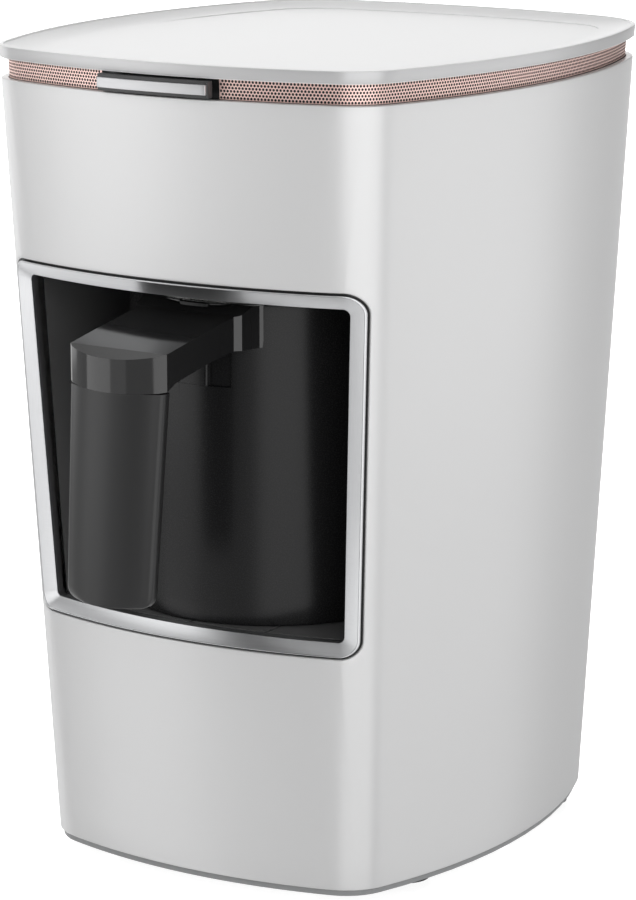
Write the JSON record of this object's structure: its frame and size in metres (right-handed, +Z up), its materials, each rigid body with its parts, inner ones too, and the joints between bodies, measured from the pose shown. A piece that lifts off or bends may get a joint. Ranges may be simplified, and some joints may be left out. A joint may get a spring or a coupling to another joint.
{
  "type": "electric turkish coffee maker",
  "caption": "Free-standing coffee maker: tapered housing with a framed front chamber, a sliding heated pot with an upright handle, and a spring-loaded start bar under the cover.",
  "frame": {"origin": "on the table, under the middle of the box around the machine with its pot docked", "axes": "+Z up; -Y is the front, with the chamber, the handle and the start bar; +X is to the right of the middle for the machine seen from the front"},
  "size_m": [0.172, 0.2264, 0.262],
  "materials": {
    "shell_plastic": "satin silver-white moulded plastic",
    "cover_plastic": "glossy white moulded plastic",
    "band_metal": "rose anodised perforated sheet, satin",
    "trim_black": "fine satin black moulding",
    "frame_metal": "satin metal trim, bevelled",
    "button_metal": "fine brushed",
    "chamber_black": "polished black moulding",
    "pot_black": "satin black moulding",
    "handle_black": "semi-gloss black moulding",
    "base_grey": "fine grained grey moulding",
    "foot_rubber": "matt soft rubber",
    "cup_steel": "spun stainless steel",
    "screw_steel": "zinc plated",
    "spring_steel": "bright drawn wire",
    "sensor_glass": "dark infra-red window",
    "board_laminate": "green lacquered board",
    "relay_blue": "moulded relay case",
    "coil_core": "laminated core and lacquered winding",
    "can_aluminium": "sleeved metal can",
    "terminal_green": "moulded terminal block",
    "socket_ivory": "heat proof moulding",
    "contact_brass": "nickel-bright turned contact",
    "lead_red": "silicone insulated lead",
    "harness_grey": "grey flat cable sleeve",
    "seal_silicone": "grey silicone",
    "plate_aluminium": "cast heating plate"
  },
  "bodies": {
    "housing": {"outer_shell": "shell_plastic", "top_cover": "cover_plastic", "perforated_band": "band_metal", "top_frame": "trim_black", "window_bezel": "frame_metal", "chamber_liner": "chamber_black", "chamber_floor": "chamber_black", "support_frame": "base_grey", "base_plate": "base_grey", "rubber_feet": "foot_rubber", "base_screws": "screw_steel", "cover_screws": "screw_steel", "sensor_window": "sensor_glass", "foam_sensor": "board_laminate", "sensor_bracket": "base_grey", "main_board": "board_laminate", "board_screws": "screw_steel", "relay": "relay_blue", "transformer": "coil_core", "capacitors": "can_aluminium", "buzzer": "trim_black", "terminal_block": "terminal_green", "cord_inlet": "trim_black", "inlet_nut": "trim_black", "socket_connector": "socket_ivory", "socket_contacts": "contact_brass", "socket_leads": "lead_red", "control_harness": "harness_grey", "button_housing": "trim_black", "button_springs": "spring_steel", "switch_dome": "seal_silicone", "button_board": "board_laminate"},
    "button": {"button_bar": "trim_black", "button_face": "button_metal", "stem_clips": "screw_steel"},
    "pot": {"pot_jacket": "pot_black", "steel_cup": "cup_steel", "cup_seal": "seal_silicone", "handle_arm": "handle_black", "handle_grip": "handle_black", "grip_screw": "screw_steel", "pot_base": "pot_black", "pot_base_screws": "screw_steel", "heater_plate": "plate_aluminium", "thermostat": "socket_ivory", "pot_plug": "pot_black", "plug_pins": "contact_brass", "pot_leads": "lead_red"}
  },
  "joints": [
    {"name": "pot_slide", "type": "slide", "parent": "housing", "child": "pot", "axis": [0, -1, 0], "range_m": [0, 0.18]},
    {"name": "button_press", "type": "slide", "parent": "housing", "child": "button", "axis": [0, 1, 0], "range_m": [0, 0.0018], "stiffness_N_per_m": 600, "springref_m": -0.001, "deforming": ["button_springs", "switch_dome"]}
  ]
}
